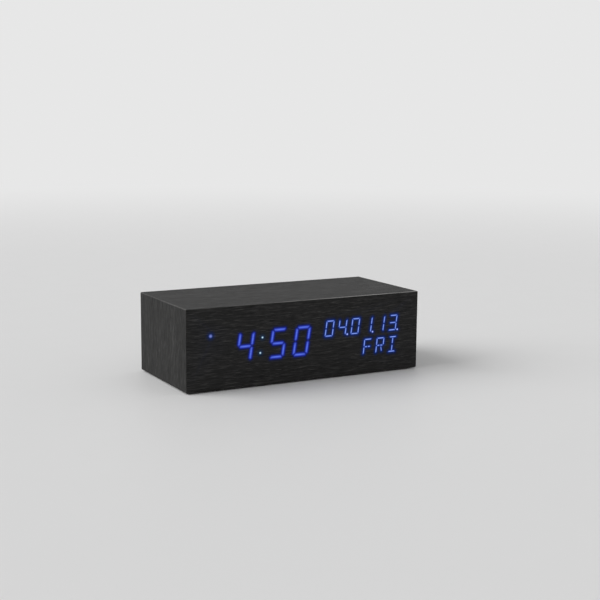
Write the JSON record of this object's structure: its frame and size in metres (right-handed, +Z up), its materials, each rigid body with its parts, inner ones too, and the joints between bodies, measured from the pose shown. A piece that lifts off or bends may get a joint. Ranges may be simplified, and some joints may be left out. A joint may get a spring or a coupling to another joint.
{
  "type": "digital alarm clock",
  "caption": "Block-shaped digital alarm clock in black wood veneer with a slanted blue segment display shining through the front, and buttons, jack and battery door behind.",
  "frame": {"origin": "on the table, under the middle of the case", "axes": "+X to the right seen from the front, +Y from the front to the back, +Z up"},
  "size_m": [0.21, 0.094, 0.066],
  "materials": {
    "black_veneer": "satin black-stained wood veneer",
    "fibreboard": "raw fibreboard",
    "black_plastic": "fine textured black moulding",
    "white_plastic": "matt white moulding",
    "milky_plastic": "milky light guide",
    "lit_blue": "lit segment",
    "lit_pale": "lit dot",
    "circuit_green": "solder mask",
    "chip_black": "moulded chip package",
    "led_white": "clear resin",
    "steel": "plated",
    "gold": "plated",
    "rubber": "matt",
    "ivory_plastic": "moulded",
    "ribbon_grey": "ribbed cable jacket",
    "capacitor_sleeve": "shrunk sleeve",
    "lead_jacket": "wire jacket",
    "cell_jacket": "plain jacket"
  },
  "bodies": {
    "case": {"top_board": "black_veneer", "base_board": "black_veneer", "left_end_board": "black_veneer", "right_end_board": "black_veneer", "front_panel": "fibreboard", "face_veneer": "black_veneer", "corner_blocks": "fibreboard", "feet": "rubber", "rear_panel": "black_plastic", "rear_panel_screws": "steel", "display_board": "circuit_green", "display_board_screws": "steel", "driver_chips": "chip_black", "led_chips": "led_white", "time_reflector": "white_plastic", "time_light_bars": "milky_plastic", "calendar_reflector": "white_plastic", "calendar_light_bars": "milky_plastic", "lit_time_digits": "lit_blue", "lit_dots": "lit_pale", "lit_date_digits": "lit_blue", "lit_weekday_letters": "lit_blue", "ribbon_cable": "ribbon_grey", "ribbon_sockets": "ivory_plastic", "main_board": "circuit_green", "main_board_screws": "steel", "control_chip": "chip_black", "crystal": "steel", "capacitors": "capacitor_sleeve", "tact_switches": "chip_black", "sound_switch_body": "steel", "power_jack_housing": "black_plastic", "power_jack_pin": "gold", "sounder": "chip_black", "microphone": "steel", "microphone_boot": "rubber", "battery_tray": "black_plastic", "battery_cells": "cell_jacket", "contact_plates": "steel", "contact_springs": "steel", "battery_leads": "lead_jacket"},
    "set_button": {"set_button_cap": "black_plastic", "set_button_plunger": "ivory_plastic"},
    "up_button": {"up_button_cap": "black_plastic", "up_button_plunger": "ivory_plastic"},
    "down_button": {"down_button_cap": "black_plastic", "down_button_plunger": "ivory_plastic"},
    "alarm_button": {"alarm_button_cap": "black_plastic", "alarm_button_plunger": "ivory_plastic"},
    "sound_switch": {"sound_switch_knob": "black_plastic", "sound_switch_lever": "ivory_plastic"},
    "battery_door": {"battery_door": "black_plastic"}
  },
  "joints": [
    {"name": "set_button_press", "type": "slide", "parent": "case", "child": "set_button", "axis": [0, -1, 0], "range_m": [0, 0.0008], "stiffness_N_per_m": 500, "springref_m": -0.001},
    {"name": "up_button_press", "type": "slide", "parent": "case", "child": "up_button", "axis": [0, -1, 0], "range_m": [0, 0.0008], "stiffness_N_per_m": 500, "springref_m": -0.001},
    {"name": "down_button_press", "type": "slide", "parent": "case", "child": "down_button", "axis": [0, -1, 0], "range_m": [0, 0.0008], "stiffness_N_per_m": 500, "springref_m": -0.001},
    {"name": "alarm_button_press", "type": "slide", "parent": "case", "child": "alarm_button", "axis": [0, -1, 0], "range_m": [0, 0.0008], "stiffness_N_per_m": 500, "springref_m": -0.001},
    {"name": "sound_switch_slide", "type": "slide", "parent": "case", "child": "sound_switch", "axis": [1, 0, 0], "range_m": [0, 0.003]},
    {"name": "battery_door_hinge", "type": "hinge", "parent": "case", "child": "battery_door", "pos_m": [-0.04605, 0.04425, 0.01655], "axis": [-1, 0, 0], "range_deg": [0, 90]}
  ]
}
